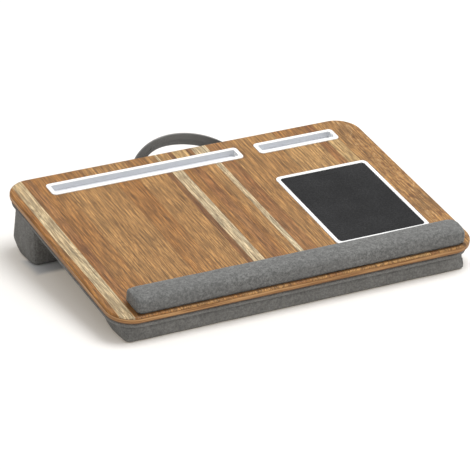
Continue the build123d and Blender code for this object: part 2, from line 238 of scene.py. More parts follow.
# %% Pattern helpers
def srgb(red, green, blue):
    """A screen colour of 0 to 255 as the linear colour that shaders use."""
    shares = (red / 255, green / 255, blue / 255)
    return (*(s / 12.92 if s <= 0.04045 else ((s + 0.055) / 1.055) ** 2.4 for s in shares), 1.0)


def new_finish(name):
    """A material with one shader, and its node tree."""
    finish = bpy.data.materials.new(name)
    finish.use_nodes = True
    return finish, finish.node_tree, finish.node_tree.nodes["Principled BSDF"]


def dress(finish, *names):
    """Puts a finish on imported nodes."""
    for name in names:
        nodes[name].data.materials[0] = finish
    print(finish.name, "is on", ", ".join(names))


def speckle(tree, place, scale, detail=2.0, rough=0.5, distortion=0.0):
    """Noise of so many spots a metre."""
    look = {"Scale": scale, "Detail": detail, "Roughness": rough, "Distortion": distortion}
    return add(tree, "ShaderNodeTexNoise", {"Vector": place, **look}).outputs["Fac"]


def mixed(tree, share, first, second, mode="MIX"):
    """Two colours mixed by a share."""
    return add(tree, "ShaderNodeMix", {0: share, 6: first, 7: second}, data_type="RGBA",
               blend_type=mode).outputs[2]


def tinted(tree, colour, tint, pattern, low, high, most=1.0):
    """A colour that goes over into a tint where a pattern rises, at most by that share."""
    return mixed(tree, eased(tree, pattern, low, high, 0.0, most), colour, tint)


def shaded(tree, colour, pattern, low, high, dark, light):
    """A colour that a pattern darkens and lightens."""
    return mixed(tree, 1.0, colour, eased(tree, pattern, low, high, dark, light), "MULTIPLY")


def relief(tree, height, depth, below=None):
    """A bump of a real depth in metres, on top of another one where that is given."""
    node = add(tree, "ShaderNodeBump", {"Distance": depth, "Height": height})
    if below is not None:
        tree.links.new(below, node.inputs["Normal"])
    return node.outputs[0]


print("pattern helpers ready")

# %% [markdown]
# A pale sheet runs under the whole view. It glows a little, so that shadows stay light and warm,
# save behind under the tray, where the shade is deep. A big soft lamp hangs over the right, and a
# white sky fills the shadows, dimmer on the left.

# %% Floor
floor_half, floor_glow = 14.0, 0.18
shade_side, shade_front, shade_rear = cad_box[1][0] - 2.5 * mm, 50 * mm, 105 * mm
floor_mesh = bpy.data.meshes.new("floor")
floor_mesh.from_pydata([(x * floor_half, y * floor_half, 0)
                        for x, y in ((-1, -1), (1, -1), (1, 1), (-1, 1))], [], [(0, 1, 2, 3)])
floor = linked("floor", floor_mesh)
floor_finish, tree, shader = new_finish("studio_floor")
floor_x, floor_y = split(tree, placed(tree))[:2]
beside_shade = maths(tree, "SUBTRACT", maths(tree, "ABSOLUTE", floor_x), shade_side)
before_shade = maths(tree, "SUBTRACT", shade_front, floor_y)
behind_shade = maths(tree, "SUBTRACT", floor_y, shade_rear)
from_shade = maths(tree, "MAXIMUM", beside_shade,
                   maths(tree, "MAXIMUM", before_shade, behind_shade))
fill(tree, shader, {
    "Base Color": (0.76, 0.76, 0.76, 1),
    "Roughness": 0.9,
    "Emission Color": (1, 0.84, 0.64, 1),
    "Emission Strength": eased(tree, from_shade, -10 * mm, 5 * mm, 0.0, floor_glow),
})
floor_mesh.materials.append(floor_finish)
print("floor is", 2 * floor_half, "m wide")

# %% Sky and lamp
sky_slant, sky_middle = 0.26, 0.73
world = bpy.data.worlds.new("studio_sky")
world.use_nodes = True
scene.world = world
tree = world.node_tree
sky_x = split(tree, add(tree, "ShaderNodeTexCoord").outputs["Generated"])[0]
fill(tree, tree.nodes["Background"], {
    "Color": (1, 1, 1, 1),
    "Strength": maths(tree, "MULTIPLY_ADD", sky_x, sky_slant, sky_middle),
})

lamp_place, lamp_side, lamp_watts = Vector((0.7, -0.2, 2.9)), 1.8, 62
lamp = bpy.data.lights.new("key_lamp", "AREA")
lamp.shape, lamp.size, lamp.energy = "SQUARE", lamp_side, lamp_watts
key_lamp = linked("key_lamp", lamp)
key_lamp.location = lamp_place
key_lamp.rotation_euler = (-lamp_place).to_track_quat("-Z", "Y").to_euler()
print("sky and lamp are in place")

# %% [markdown]
# The board is faced with wood in strips of uneven width that run from front to rear. Each strip
# was sawn from another plank, so its tone and its grain start anew at the joint. A table gives the
# strips' right edges and tones. Stepped ramps turn x into the tones at the rear, in the middle and
# at the front, where strips meet end to end, and into a random number that moves the grain.

# %% Wood tones and strips
honey, amber, tan = srgb(169, 124, 70), srgb(158, 107, 51), srgb(184, 142, 87)
copper, walnut, russet = srgb(157, 103, 43), srgb(116, 74, 39), srgb(148, 98, 52)
cream, straw, sapwood = srgb(212, 196, 160), srgb(200, 166, 112), srgb(205, 186, 147)
strips = [  # right edge in millimetres, tone at the rear, tone before it
    (-247, copper, copper), (-234, russet, russet), (-200, copper, amber), (-158, amber, honey),
    (-125, honey, honey), (-92, honey, amber), (-60, amber, honey), (-49, honey, honey),
    (-45, honey, walnut), (-39, cream, walnut), (-22, tan, cream), (-16, walnut, amber),
    (-9, straw, amber), (5, straw, russet), (13, walnut, amber), (28, cream, honey),
    (38, cream, cream), (60, russet, russet), (98, honey, honey), (136, honey, honey),
    (145, tan, tan), (197, amber, tan), (210, russet, russet), (228, honey, straw),
    (241, honey, honey), (275, honey, honey),
]
first_edge, last_edge = strips[0][0], strips[-1][0]
rear_tone_break, foot_tone_break = 332 * mm, 28 * mm
sapwood_edge, sapwood_blur, sapwood_wobble = -266 * mm, 0.6 * mm, 12 * mm
knotty_edge = 241 * mm
grain_seed = random.Random(11)


def stepped_ramp(tree, share, colours):
    """A ramp with one flat step for each strip of the board."""
    node = add(tree, "ShaderNodeValToRGB", {0: share})
    ramp = node.color_ramp
    ramp.interpolation = "CONSTANT"
    ramp.elements.remove(ramp.elements[1])
    ramp.elements[0].color = colours[0]
    for (edge, *tones), colour in zip(strips, colours[1:]):
        ramp.elements.new((edge + last_edge) / (2 * last_edge)).color = colour
    return node.outputs[0]


print("strips of wood:", len(strips))

# %% Tones on the board
wood, tree, shader = new_finish("wood_laminate")
board_place = on_board(tree)
board_x, board_v, board_w = split(tree, board_place)
x_share = maths(tree, "MULTIPLY_ADD", board_x, 1 / board_width, 0.5)
strip_numbers = [(grey, grey, grey, 1) for grey in [grain_seed.random() for strip in strips]]
strip_number = stepped_ramp(tree, x_share, strip_numbers)

# A joint is a hairline: the strip's number a little to the left isn't that a little to the right.
joint_half, number_gap = 0.25 * mm / board_width, 0.0005
left_number, right_number = (stepped_ramp(tree, maths(tree, "ADD", x_share, step), strip_numbers)
                             for step in (-joint_half, joint_half))
joint = maths(tree, "GREATER_THAN", apart(tree, left_number, right_number), number_gap)

rear_tones, front_tones, foot_tones = (stepped_ramp(tree, x_share, tones) for tones in (
    [rear for edge, rear, front in strips],
    [front for edge, rear, front in strips],
    [honey if front in (cream, straw, walnut) else front for edge, rear, front in strips]))
is_rear = maths(tree, "GREATER_THAN", board_v, rear_tone_break)
is_foot = maths(tree, "LESS_THAN", board_v, foot_tone_break)
tone = mixed(tree, is_foot, mixed(tree, is_rear, front_tones, rear_tones), foot_tones)
print("tones set out in", len(tree.nodes), "nodes")

# %% [markdown]
# The grain is noise stretched along the strip, and moved by the strip's own number. The height
# lines of the broadest noise close into the arches and eyes of real flat-sawn wood, and finer ones
# give streaks, threads, fibres and pores. The strip at the right edge is knotty, and at the left
# edge pale sapwood shows.

# %% Wood grain
shift_x, shift_v = 3.1, 7.7
own_place = shifted(tree, board_place, joined(tree, times(tree, strip_number, shift_x),
                                              times(tree, strip_number, shift_v)))
grain_patterns = {  # stretch along the strip, spots a metre, detail, roughness, distortion
    "rings": (0.17, 34, 2.5, 0.42, 0.25),
    "streaks": (0.045, 330, 4, 0.78),
    "threads": (0.05, 560, 1.5, 0.5),
    "fibres": (0.035, 1150, 3, 0.6),
    "pores": (0.045, 1900, 1, 0.4),
    "knots": (0.5, 64, 4, 0.66, 2.2),
    "clouds": (0.3, 22, 3, 0.6),
}
grain = {name: speckle(tree, placed(tree, stretch=(1, along, 1), place=own_place), *look)
         for name, (along, *look) in grain_patterns.items()}
rings_in_noise = 24
ring_lines = maths(tree, "PINGPONG", times(tree, grain["rings"], rings_in_noise), 0.5)
ring_dark = eased(tree, ring_lines, 0.0, 0.30, 1.0, 0.0)
pore_dark = eased(tree, grain["pores"], 0.60, 0.72)

wobble = times(tree, maths(tree, "SUBTRACT", grain["rings"], 0.5), sapwood_wobble)
past_sap_line = eased(tree, maths(tree, "ADD", board_x, wobble), sapwood_edge - sapwood_blur,
                      sapwood_edge + sapwood_blur)
is_sap = times(tree, past_sap_line, maths(tree, "LESS_THAN", board_x, first_edge * mm))
tone = mixed(tree, is_sap, tone, sapwood)
tone = tinted(tree, tone, srgb(206, 162, 102), grain["clouds"], 0.3, 0.75, 0.30)
is_knotty = maths(tree, "GREATER_THAN", board_x, knotty_edge)
for knot_tone, *knot_range in ((srgb(208, 166, 114), 0.53, 0.66, 0.0, 0.8),
                               (srgb(122, 78, 40), 0.36, 0.47, 0.75, 0.0)):
    is_knot = times(tree, is_knotty, eased(tree, grain["knots"], *knot_range))
    tone = mixed(tree, is_knot, tone, knot_tone)
tone = mixed(tree, times(tree, ring_dark, 0.30), tone, srgb(112, 72, 36))
tone = shaded(tree, tone, grain["streaks"], 0.34, 0.66, 0.44, 1.24)
tone = shaded(tree, tone, grain["threads"], 0.40, 0.60, 0.69, 1.20)
tone = tinted(tree, tone, srgb(122, 82, 46), grain["fibres"], 0.35, 0.7, 0.30)
tone = mixed(tree, times(tree, pore_dark, 0.5), tone, srgb(88, 52, 26))
tone = mixed(tree, times(tree, joint, 0.5), tone, srgb(84, 50, 27))
print("grain patterns:", ", ".join(grain))

# %% [markdown]
# The board's rounded edge shows the layers that the wood is glued up from, with a thin dark line
# under the face. Its foot is darkened with painted shade, where the hem meets the board. In front of
# the wrist rest a thin painted shade lies on the wood, where the rest's cover is tucked in.

# %% Edge of the board and the wood's finish
face_fade, line_start = (-2.4 * mm, -1.4 * mm), (-2.9 * mm, -2.2 * mm)
line_end, foot_shade_fade = (-2.0 * mm, -1.4 * mm), (-7.9 * mm, -6.7 * mm)
gap_shade_start, gap_shade_full, gap_shade_end = 3.6 * mm, 1.2 * mm, 4 * mm
layers = speckle(tree, placed(tree, stretch=(0.02, 0.02, 1), place=board_place), 420, 3, 0.7)
band_tone = tinted(tree, srgb(108, 72, 38), srgb(204, 162, 112), layers, 0.38, 0.62)
band_tone = mixed(tree, 0.4, band_tone, srgb(168, 116, 62))
face_line = times(tree, eased(tree, board_w, *line_start),
                  eased(tree, board_w, *line_end, 1.0, 0.0))
# Painted shade: the foot of the edge is darkened, where the hem meets the board underneath.
painted_foot_shade = eased(tree, board_w, *foot_shade_fade, 1.0, 0.0)
dark_line_and_foot_shade = times(tree, maths(tree, "MAXIMUM", face_line, painted_foot_shade), 0.75)
tone = mixed(tree, eased(tree, board_w, *face_fade, 1.0, 0.0), tone,
             mixed(tree, dark_line_and_foot_shade, band_tone, srgb(86, 55, 31)))

rest_low, rest_high = board_box("wrist_rest")
rest_front = rest_low[1]
# Painted shade: a dark band on the wood just in front of the wrist rest, where the rest's overhang
# shades it.
painted_gap_shade = times(tree, within(tree, board_x, rest_low[0], rest_high[0]),
               eased(tree, board_v, rest_front - gap_shade_start, rest_front - gap_shade_full))
painted_gap_shade = times(tree, painted_gap_shade, maths(tree, "LESS_THAN", board_v, rest_front + gap_shade_end))
tone = mixed(tree, times(tree, painted_gap_shade, 0.72), tone, srgb(66, 42, 24))

grain_height = maths(tree, "SUBTRACT", times(tree, grain["fibres"], 0.4),
                     maths(tree, "ADD", pore_dark, joint))
fill(tree, shader, {
    "Base Color": tone,
    "Roughness": eased(tree, grain["fibres"], 0.3, 0.7, 0.42, 0.54),
    "Specular IOR Level": 0.28,
    "Coat Weight": 0.05,
    "Coat Roughness": 0.3,
    "Normal": relief(tree, grain_height, 0.08 * mm),
})
dress(wood, "wood_board")

# %% [markdown]
# The slots and the frame round the mouse pad are moulded in white gloss plastic. Moulded plastic
# is never quite even: it carries a faint ripple from the tool and a few hairline scuffs, so the
# roughness wanders a little. Inside the slots the troughs are pale grey, like the strips of rubber
# on their floors, which have a fine tooth.

# %% Moulded plastic
white_plastic, tree, shader = new_finish("white_plastic")
grip_pads = ("tablet_slot_grip_pad", "phone_slot_grip_pad")
end_wall, side_wall, flange_fade = 0.05 * mm, 0.5 * mm, (0.5 * mm, 0.9 * mm)
place = placed(tree)
scuffs = speckle(tree, placed(tree, turn=(0, 0, 0.6), stretch=(1, 0.08, 1)), 700, 2, 0.6)
ripple = speckle(tree, place, 60)
white = tinted(tree, srgb(246, 246, 245), srgb(238, 238, 236), speckle(tree, place, 35, 3),
               0.35, 0.75, 0.6)
level_place = split(tree, on_board(tree))
is_trough = 0.0
for pad in grip_pads:
    low, high = board_box(pad)
    over_pad = [within(tree, level_place[axis], low[axis], high[axis], wall)
                for axis, wall in enumerate((end_wall, side_wall))]
    is_trough = maths(tree, "MAXIMUM", is_trough, times(tree, *over_pad))
is_trough = times(tree, is_trough, eased(tree, level_place[2], *flange_fade, 1.0, 0.0))
fill(tree, shader, {
    "Base Color": mixed(tree, is_trough, white, srgb(212, 214, 218)),
    "Roughness": eased(tree, scuffs, 0.45, 0.8, 0.16, 0.34),
    "Coat Weight": 0.4,
    "Coat Roughness": 0.08,
    "Normal": relief(tree, ripple, 0.05 * mm),
})
dress(white_plastic, "tablet_slot_channel", "phone_slot_channel", "mouse_pad_frame")

# %% Rubber of the grip pads
grip_rubber, tree, shader = new_finish("grip_pad")
tooth = speckle(tree, placed(tree), 1600, 2, 0.6)
fill(tree, shader, {
    "Base Color": tinted(tree, srgb(214, 216, 220), srgb(229, 231, 234), tooth, 0.3, 0.7),
    "Roughness": 0.62,
    "Normal": relief(tree, tooth, 0.08 * mm),
})
dress(grip_rubber, *grip_pads)

# %% [markdown]
# The mouse pad is coated cloth that looks like black leather. Its grain is a net of small pebbles,
# which a cell pattern gives, wavered by noise, with soft wear that shows as a slightly lighter,
# smoother patch.

# %% Leatherette of the mouse pad
leatherette, tree, shader = new_finish("leatherette")
place = placed(tree, turn=(-slope, 0, 0))
jitter = add(tree, "ShaderNodeTexNoise", {"Vector": place, "Scale": 240}).outputs["Color"]
small_jitter = add(tree, "ShaderNodeVectorMath", {0: jitter, "Scale": 1.2 * mm},
                   operation="SCALE").outputs[0]
pebbles = add(tree, "ShaderNodeTexVoronoi", {
    "Vector": shifted(tree, place, small_jitter), "Scale": 620, "Smoothness": 0.6,
}, feature="SMOOTH_F1").outputs["Distance"]
wear_and_painted_highlight = speckle(tree, place, 16, 4, 0.6)
creases = speckle(tree, place, 330, 3, 0.7)
colour = tinted(tree, srgb(40, 40, 41), srgb(47, 47, 48), wear_and_painted_highlight, 0.35, 0.7)
colour = tinted(tree, colour, srgb(26, 26, 27), pebbles, 0.2, 0.6, 0.6)
fill(tree, shader, {
    "Base Color": shaded(tree, colour, creases, 0.35, 0.65, 0.76, 1.14),
    "Roughness": eased(tree, wear_and_painted_highlight, 0.3, 0.75, 0.62, 0.50),
    "Specular IOR Level": 0.12,
    "Normal": relief(tree, times(tree, pebbles, -1), 0.12 * mm),
})
dress(leatherette, "mouse_pad")

# %% [markdown]
# Three fabrics cover the soft parts. The wrist rest has a brushed, suede-like face: mottled where
# the pile was stroked one way or the other. The cushion has a flat weave of two greys. The strap is
# ribbed webbing. Each is a height pattern and a colour that follows it, at the real thread size.

# %% Brushed fabric of the wrist rest
suede, tree, shader = new_finish("wrist_fabric")
place = placed(tree)
strokes = speckle(tree, placed(tree, stretch=(1, 1.3, 1.3)), 170, 5, 0.75, 0.4)
nap = speckle(tree, place, 430, 2, 0.6)
pile = speckle(tree, place, 1500, 2, 0.65)
broad = speckle(tree, place, 17)
colour = tinted(tree, srgb(97, 97, 95), srgb(130, 130, 128), strokes, 0.34, 0.68)
colour = shaded(tree, colour, nap, 0.35, 0.65, 0.78, 1.20)
colour = tinted(tree, colour, srgb(104, 104, 103), broad, 0.35, 0.7, 0.25)
fill(tree, shader, {
    "Base Color": tinted(tree, colour, srgb(84, 84, 83), pile, 0.3, 0.75, 0.35),
    "Roughness": 0.9,
    "Specular IOR Level": 0.2,
    "Sheen Weight": 0.2,
    "Sheen Roughness": 0.45,
    "Normal": relief(tree, strokes, 0.25 * mm, below=relief(tree, pile, 0.12 * mm)),
})
print("wrist fabric:", len(tree.nodes), "nodes")

# %% Woven fabric of the cushion
cushion_cloth, tree, shader = new_finish("cushion_fabric")
threads_a_metre = 900
wave_turn = 20  # radians that the wave texture turns in a metre at scale 1
dark_yarn, light_yarn = srgb(108, 107, 104), srgb(124, 123, 120)
slub_yarn = tuple(0.62 * c for c in dark_yarn[:3]) + (1,)
place = placed(tree)
wave_look = {"Vector": place, "Scale": threads_a_metre / wave_turn * pi, "Distortion": 1.2,
             "Detail": 1.0, "Detail Scale": 2.0}
waves = [add(tree, "ShaderNodeTexWave", wave_look, bands_direction=axis).outputs["Fac"]
         for axis in "XYZ"]
threads = times(tree, maths(tree, "ADD", maths(tree, "ADD", *waves[:2]), waves[2]), 1 / 3)
slubs = speckle(tree, placed(tree, stretch=(0.35, 1, 1)), 900, 3, 0.65)
patches = speckle(tree, place, 42, 4, 0.62, 0.8)
nap = speckle(tree, place, 400, 2, 0.6)
colour = tinted(tree, dark_yarn, light_yarn, patches, 0.32, 0.7)
colour = tinted(tree, colour, slub_yarn, slubs, 0.35, 0.75, 0.45)
colour = tinted(tree, colour, light_yarn, threads, 0.3, 0.7, 0.22)
fill(tree, shader, {
    "Base Color": shaded(tree, colour, nap, 0.35, 0.65, 0.82, 1.15),
    "Roughness": 0.9,
    "Specular IOR Level": 0.2,
    "Sheen Weight": 0.06,
    "Sheen Roughness": 0.5,
    "Normal": relief(tree, slubs, 0.12 * mm, below=relief(tree, threads, 0.15 * mm)),
})
print("cushion fabric:", len(tree.nodes), "nodes")

# %% Webbing of the strap
webbing, tree, shader = new_finish("webbing")
rib_pitch, twill_pitch = 1.15 * mm, 1.6 * mm
# Painted highlight: the band is paler round its middle, where the arch's top catches the light.
highlight_middle, highlight_full_reach, highlight_fade_reach = 108 * mm, 20 * mm, 75 * mm
band_place = add(tree, "ShaderNodeAttribute", attribute_name="band_place").outputs["Vector"]
across, along = split(tree, band_place)[:2]
ribs = maths(tree, "SINE", times(tree, across, 2 * pi / rib_pitch))
twill = maths(tree, "SINE", maths(tree, "ADD", times(tree, along, 2 * pi / twill_pitch),
                                  times(tree, across, pi / rib_pitch)))
weave = maths(tree, "MULTIPLY_ADD", times(tree, ribs, twill), 0.5, 0.5)
fuzz = speckle(tree, placed(tree), 1300, 3, 0.7)
# Painted highlight: 1 at the band's middle, fading to 0 further along it.
wear_and_painted_highlight = eased(tree, apart(tree, along, highlight_middle), highlight_full_reach, highlight_fade_reach, 1.0, 0.0)
colour = mixed(tree, wear_and_painted_highlight, mixed(tree, weave, srgb(88, 88, 87), srgb(128, 128, 126)),
               mixed(tree, weave, srgb(130, 130, 128), srgb(166, 166, 164)))
fill(tree, shader, {
    "Base Color": tinted(tree, colour, srgb(74, 74, 75), fuzz, 0.35, 0.75, 0.35),
    "Roughness": 0.78,
    "Sheen Weight": 0.03,
    "Normal": relief(tree, weave, 0.30 * mm, below=relief(tree, fuzz, 0.08 * mm)),
})
print("webbing:", len(tree.nodes), "nodes")

# %% [markdown]
# Thread, hardboard and the screws' steel are seen little, so one simple recipe serves them: two
# tones, a roughness and a relief that all follow the same fine grain.

# %% Thread, board and steel
def grained_finish(name, dark, light, scale, roughness, metallic=0.0, stretch=(1, 1, 1)):
    """A two-tone finish whose fine grain also gives the relief."""
    finish, tree, shader = new_finish(name)
    grain = speckle(tree, placed(tree, stretch=stretch), scale, 3, 0.6)
    fill(tree, shader, {
        "Base Color": tinted(tree, dark, light, grain, 0.3, 0.72),
        "Roughness": eased(tree, grain, 0.3, 0.72, roughness, roughness * 0.8),
        "Metallic": metallic,
        "Normal": relief(tree, grain, 0.05 * mm),
    })
    return finish


thread_grey = grained_finish("thread", srgb(84, 84, 84), srgb(124, 124, 123), 2600, 0.7)
hardboard = grained_finish("hardboard", srgb(96, 66, 42), srgb(132, 96, 64), 900, 0.85)
zinc = grained_finish("screw_steel", srgb(168, 170, 172), srgb(200, 201, 203), 1500, 0.4,
                      metallic=1.0, stretch=(1, 0.2, 1))
dress(hardboard, "mouse_pad_backing", "wrist_rest_base", "cushion_panel")
dress(zinc, "panel_screws", "wrist_screws")

# %% [markdown]
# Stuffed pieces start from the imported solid, which has the right form but hard edges. A copy is
# remeshed into even squares and then blown up as cloth from the inside, so the cover swells where
# it is free and stays where it is sewn down. How far a point may move is capped, and the result is
# a plain mesh. The flat contact faces are pressed back where they rest.

# %% Mesh helpers
def set_corners(mesh, points):
    """Writes the corners back."""
    mesh.vertices.foreach_set("co", points.astype(np.float32).ravel())
    mesh.update()


def normals_of(mesh):
    """Outward normals at the corners."""
    return rows_of(mesh.vertex_normals, "vector")


def plain_mesh(holder, name):
    """The evaluated mesh of an object as a mesh of its own."""
    graph = bpy.context.evaluated_depsgraph_get()
    mesh = bpy.data.meshes.new_from_object(holder.evaluated_get(graph))
    mesh.name = name
    return mesh


def with_modifier(mesh, name, kind, inputs=(), **settings):
    """A mesh after one modifier, with its settings and the inputs of its node tree."""
    holder = linked(name, mesh)
    modifier = holder.modifiers.new(kind, kind)
    for setting, value in settings.items():
        setattr(modifier, setting, value)
    for identifier, value in dict(inputs).items():
        modifier[identifier] = value
    result = plain_mesh(holder, name)
    bpy.data.objects.remove(holder)
    return result


def place_piece(name, mesh, finish):
    """Links a finished mesh as a smooth piece at the origin."""
    mesh.materials.clear()
    mesh.materials.append(finish)
    mesh.polygons.foreach_set("use_smooth", [True] * len(mesh.polygons))
    return linked(name, mesh)


def remeshed(node, voxel):
    """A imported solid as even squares."""
    shell = bmesh.new()
    shell.from_mesh(nodes[node].data)
    bmesh.ops.remove_doubles(shell, verts=shell.verts, dist=0.02 * mm)
    mesh = bpy.data.meshes.new(node)
    shell.to_mesh(mesh)
    shell.free()
    return with_modifier(mesh, node, "REMESH", mode="VOXEL", voxel_size=voxel)


def drawn_to(node, mesh):
    """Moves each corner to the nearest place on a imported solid, and returns the corners."""
    solid = nodes[node].data
    tree = BVHTree.FromPolygons([v.co for v in solid.vertices],
                                [tuple(p.vertices) for p in solid.polygons])
    points = np.array([tree.find_nearest(Vector(p))[0] for p in corners(mesh)], float)
    set_corners(mesh, points)
    return points


def rough_noise(points, wave, seed):
    """Smooth noise at each point, about -1 to 1, with waves of that length."""
    return np.array([noise.noise(Vector(p / wave) + Vector((seed, seed, seed))) for p in points])


print("mesh helpers ready")

# %% Cloth helper
cloth_frames = 20
cloth_settings = {
    "quality": 6, "mass": 0.3, "tension_stiffness": 12, "compression_stiffness": 12,
    "shear_stiffness": 5, "bending_stiffness": 0.6, "use_pressure": True,
    "vertex_group_mass": "held",
}


def blown_up(mesh, held, pressure, cap):
    """The corners swollen as cloth: held ones stay, and none moves more than the cap."""
    start = corners(mesh)
    holder = linked("cloth", mesh.copy())
    holder.vertex_groups.new(name="held").add(np.nonzero(held)[0].tolist(), 1.0, "REPLACE")
    cloth = holder.modifiers.new("cloth", "CLOTH")
    for name, value in cloth_settings.items():
        setattr(cloth.settings, name, value)
    cloth.settings.uniform_pressure_force = pressure
    cloth.settings.effector_weights.gravity = 0
    cloth.point_cache.frame_start, cloth.point_cache.frame_end = 1, cloth_frames
    for step in range(1, cloth_frames + 1):
        scene.frame_set(step)
    moved = corners(plain_mesh(holder, "cloth_result")) - start
    bpy.data.objects.remove(holder)
    scene.frame_set(1)
    reach = np.linalg.norm(moved, axis=1, keepdims=True)
    return start + moved * np.minimum(1, cap / np.maximum(reach, 1e-9))


print("cloth runs for", cloth_frames, "frames")

# %% [markdown]
# The wrist rest is foam under brushed fabric. Its ends are separate caps, sewn in with a seam that
# pulls the cover into a shallow groove. The seam comes after the cloth step, because the remesh
# can't hold anything narrower than one of its squares. The foot is tucked in where the cover is
# folded under, so a dark line runs between the rest and the wood, deepened by a painted shade on
# the wood in front of it.

# %% Wrist rest
wrist_square, wrist_pressure, wrist_swell = 3.2 * mm, 4, 1.3 * mm
glued_height, tuck_height, tuck_depth = 2.2 * mm, 2.6 * mm, 2.6 * mm
cap_inset, seam_depth, seam_half = 7 * mm, 1.1 * mm, 1.5 * mm
lump_height, lump_wave = 0.25 * mm, 26 * mm

wrist_mesh = remeshed("wrist_rest", wrist_square)
is_glued = to_board(drawn_to("wrist_rest", wrist_mesh))[:, 2] < glued_height
set_corners(wrist_mesh, blown_up(wrist_mesh, is_glued, wrist_pressure, wrist_swell))
wrist_mesh = with_modifier(wrist_mesh, "wrist_rest_pad", "SUBSURF", levels=1, render_levels=1)
points = corners(wrist_mesh)
out = normals_of(wrist_mesh)
level = to_board(points)
for seam_x in (rest_low[0] + cap_inset, rest_high[0] - cap_inset):
    pull = np.exp(-((level[:, 0] - seam_x) / seam_half) ** 2)[:, None]
    points -= out * pull * seam_depth
points += out * (lump_height * rough_noise(points, lump_wave, 3.0))[:, None]
level = to_board(points)
level[:, 2] = np.maximum(level[:, 2], 0.0)
tuck = np.clip(1 - level[:, 2] / tuck_height, 0, 1)[:, None] ** 1.5
level[:, :2] -= along_slope(out)[:, :2] * tuck * tuck_depth
set_corners(wrist_mesh, from_board(level))
wrist_pad = place_piece("wrist_rest_pad", wrist_mesh, suede)
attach(wrist_pad, "tray")
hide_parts("wrist_rest")
print("wrist rest corners:", len(wrist_mesh.vertices))

# %% [markdown]
# The cushion's two bolsters hang under the board. Their covers are cut from panels, and the seams
# between the panels hold their line while the panels swell, so corners where the surface turns
# sharply are held. So is the top, which is sewn to the hem. The rest is drawn in a little first.
# Near the hem the cloth puckers: short upright folds that fade out downwards. The sole is pressed
# flat where the tray stands on it.

# %% Bolsters
bolster_square, bolster_pressure, bolster_swell = 3.6 * mm, 4, 2.6 * mm
sewn_height, sole_height, sharp_bend, drawn_in = 4 * mm, 1.5 * mm, 0.42, 0.6 * mm
pucker_height, pucker_wave, pucker_reach = 0.6 * mm, 11 * mm, 22 * mm
slack_height, slack_wave = 0.5 * mm, 48 * mm


def bend_of(mesh):
    """How sharply the surface turns at each corner: the widest angle's sine to a neighbour."""
    out = normals_of(mesh)
    ends = np.zeros(len(mesh.edges) * 2, np.int32)
    mesh.edges.foreach_get("vertices", ends)
    first, second = ends.reshape(-1, 2).T
    turn = np.linalg.norm(np.cross(out[first], out[second]), axis=1)
    bend = np.zeros(len(out))
    np.maximum.at(bend, first, turn)
    np.maximum.at(bend, second, turn)
    return bend


def make_bolster(node, seed):
    """The stuffed cover of one bolster."""
    mesh = remeshed(node, bolster_square)
    points = drawn_to(node, mesh)
    ceiling = board_box(node)[1][2]
    held = ((to_board(points)[:, 2] > ceiling - sewn_height) | (points[:, 2] < sole_height)
            | (bend_of(mesh) > sharp_bend))
    points -= normals_of(mesh) * (~held)[:, None] * drawn_in
    set_corners(mesh, points)
    set_corners(mesh, blown_up(mesh, held, bolster_pressure, bolster_swell))
    mesh = with_modifier(mesh, node, "SUBSURF", levels=1, render_levels=1)
    points = corners(mesh)
    below_seam = np.clip((ceiling - to_board(points)[:, 2]) / pucker_reach, 0, 1)
    upright = np.stack([points[:, 0], points[:, 1], points[:, 2] * 0.15], 1)
    pucker = (rough_noise(upright, pucker_wave, seed) * (1 - below_seam) ** 1.5
              * np.clip(below_seam * 8, 0, 1))
    slack = rough_noise(points, slack_wave, seed + 5)
    points += normals_of(mesh) * (pucker_height * pucker + slack_height * slack)[:, None]
    level = to_board(points)
    level[:, 2] = np.minimum(level[:, 2], ceiling)
    points = from_board(level)
    points[:, 2] = np.maximum(points[:, 2], 0.0)
    set_corners(mesh, points)
    piece = place_piece(node + "_cover", mesh, cushion_cloth)
    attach(piece, "tray")
    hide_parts(node)
    print(node, "corners:", len(mesh.vertices))
    return piece


covers = {node: make_bolster(node, seed)
          for node, seed in (("front_bolster", 1.0), ("rear_bolster", 2.0))}

# %% [markdown]
# What follows a path is made with Geometry Nodes: a curve, a section swept along it, and stitches
# set out at an even pitch. Each tree is built here with named inputs, ends in realized instances
# and its material, and its result becomes a plain mesh before it rides on a body.

# %% Geometry Nodes helpers
def new_geometry_tree(name, inputs):
    """A geometry tree with these named sizes, and a material where the value is None."""
    tree = bpy.data.node_groups.new(name, "GeometryNodeTree")
    tree.interface.new_socket("Geometry", in_out="INPUT", socket_type="NodeSocketGeometry")
    for label, value in inputs.items():
        kind = "NodeSocketMaterial" if value is None else "NodeSocketFloat"
        socket = tree.interface.new_socket(label, in_out="INPUT", socket_type=kind)
        if value is not None:
            socket.default_value = value
    tree.interface.new_socket("Geometry", in_out="OUTPUT", socket_type="NodeSocketGeometry")
    return tree, add(tree, "NodeGroupInput").outputs, add(tree, "NodeGroupOutput").inputs


def end_with(tree, geometry, finish, output):
    """Closes a tree: realized and given its material."""
    real = add(tree, "GeometryNodeRealizeInstances", {0: geometry}).outputs[0]
    painted = add(tree, "GeometryNodeSetMaterial", {"Geometry": real, "Material": finish})
    tree.links.new(painted.outputs[0], output)


def grow(name, path, tree, closed=False, **sizes):
    """The plain mesh that a tree makes on a path of points."""
    count = len(path)
    edges = [(i, (i + 1) % count) for i in range(count if closed else count - 1)]
    mesh = bpy.data.meshes.new(name)
    mesh.from_pydata([tuple(p) for p in path], edges, [])
    inputs = {socket.identifier: sizes[socket.name] for socket in tree.interface.items_tree
              if socket.item_type == "SOCKET" and socket.in_out == "INPUT" and socket.name in sizes}
    return with_modifier(mesh, name, "NODES", inputs, node_group=tree)


print("Geometry Nodes helpers ready")

